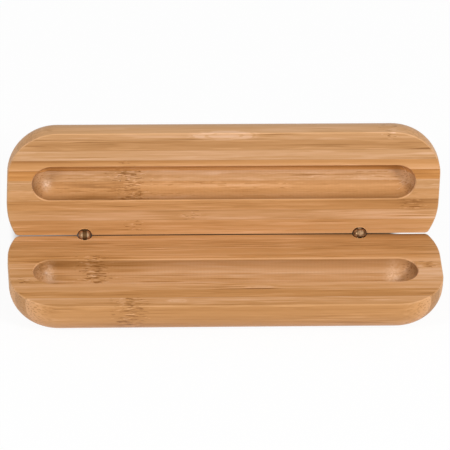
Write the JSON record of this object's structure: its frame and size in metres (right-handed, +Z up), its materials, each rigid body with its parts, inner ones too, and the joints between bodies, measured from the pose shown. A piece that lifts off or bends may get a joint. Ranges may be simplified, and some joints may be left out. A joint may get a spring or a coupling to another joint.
{
  "type": "pen case",
  "caption": "Hinged bamboo pen case: rounded, glued-up halves with matching round-ended grooves for a pen, joined along the spine by small brass knuckle hinges.",
  "frame": {"origin": "middle of the base's underside, midway along its length and between its spine and front edge", "axes": "+X along the case's length, +Z up from the surface it stands on, -Y towards the front edge, which faces the user; the lid stands open at the back"},
  "size_m": [0.17, 0.0664, 0.0634],
  "materials": {
    "bamboo": "satin lacquer over laminated bamboo",
    "hinge_brass": "dull, slightly tarnished"
  },
  "bodies": {
    "base": {"base_stave_01": "bamboo", "base_stave_02": "bamboo", "base_stave_03": "bamboo", "base_stave_04": "bamboo", "base_stave_05": "bamboo", "base_stave_06": "bamboo", "base_stave_07": "bamboo", "base_stave_08": "bamboo", "base_stave_09": "bamboo", "base_stave_10": "bamboo", "left_hinge_fork_peg": "hinge_brass", "left_hinge_rivet": "hinge_brass", "right_hinge_fork_peg": "hinge_brass", "right_hinge_rivet": "hinge_brass"},
    "lid": {"left_hinge_tongue_peg": "hinge_brass", "lid_stave_01": "bamboo", "lid_stave_02": "bamboo", "lid_stave_03": "bamboo", "lid_stave_04": "bamboo", "lid_stave_05": "bamboo", "lid_stave_06": "bamboo", "lid_stave_07": "bamboo", "lid_stave_08": "bamboo", "lid_stave_09": "bamboo", "lid_stave_10": "bamboo", "lid_stave_11": "bamboo", "right_hinge_tongue_peg": "hinge_brass"}
  },
  "joints": [
    {"name": "lid_hinge", "type": "hinge", "parent": "base", "child": "lid", "pos_m": [0, 0.02315, 0.01745], "axis": [-1, 0, 0], "range_deg": [-95, 85]}
  ]
}
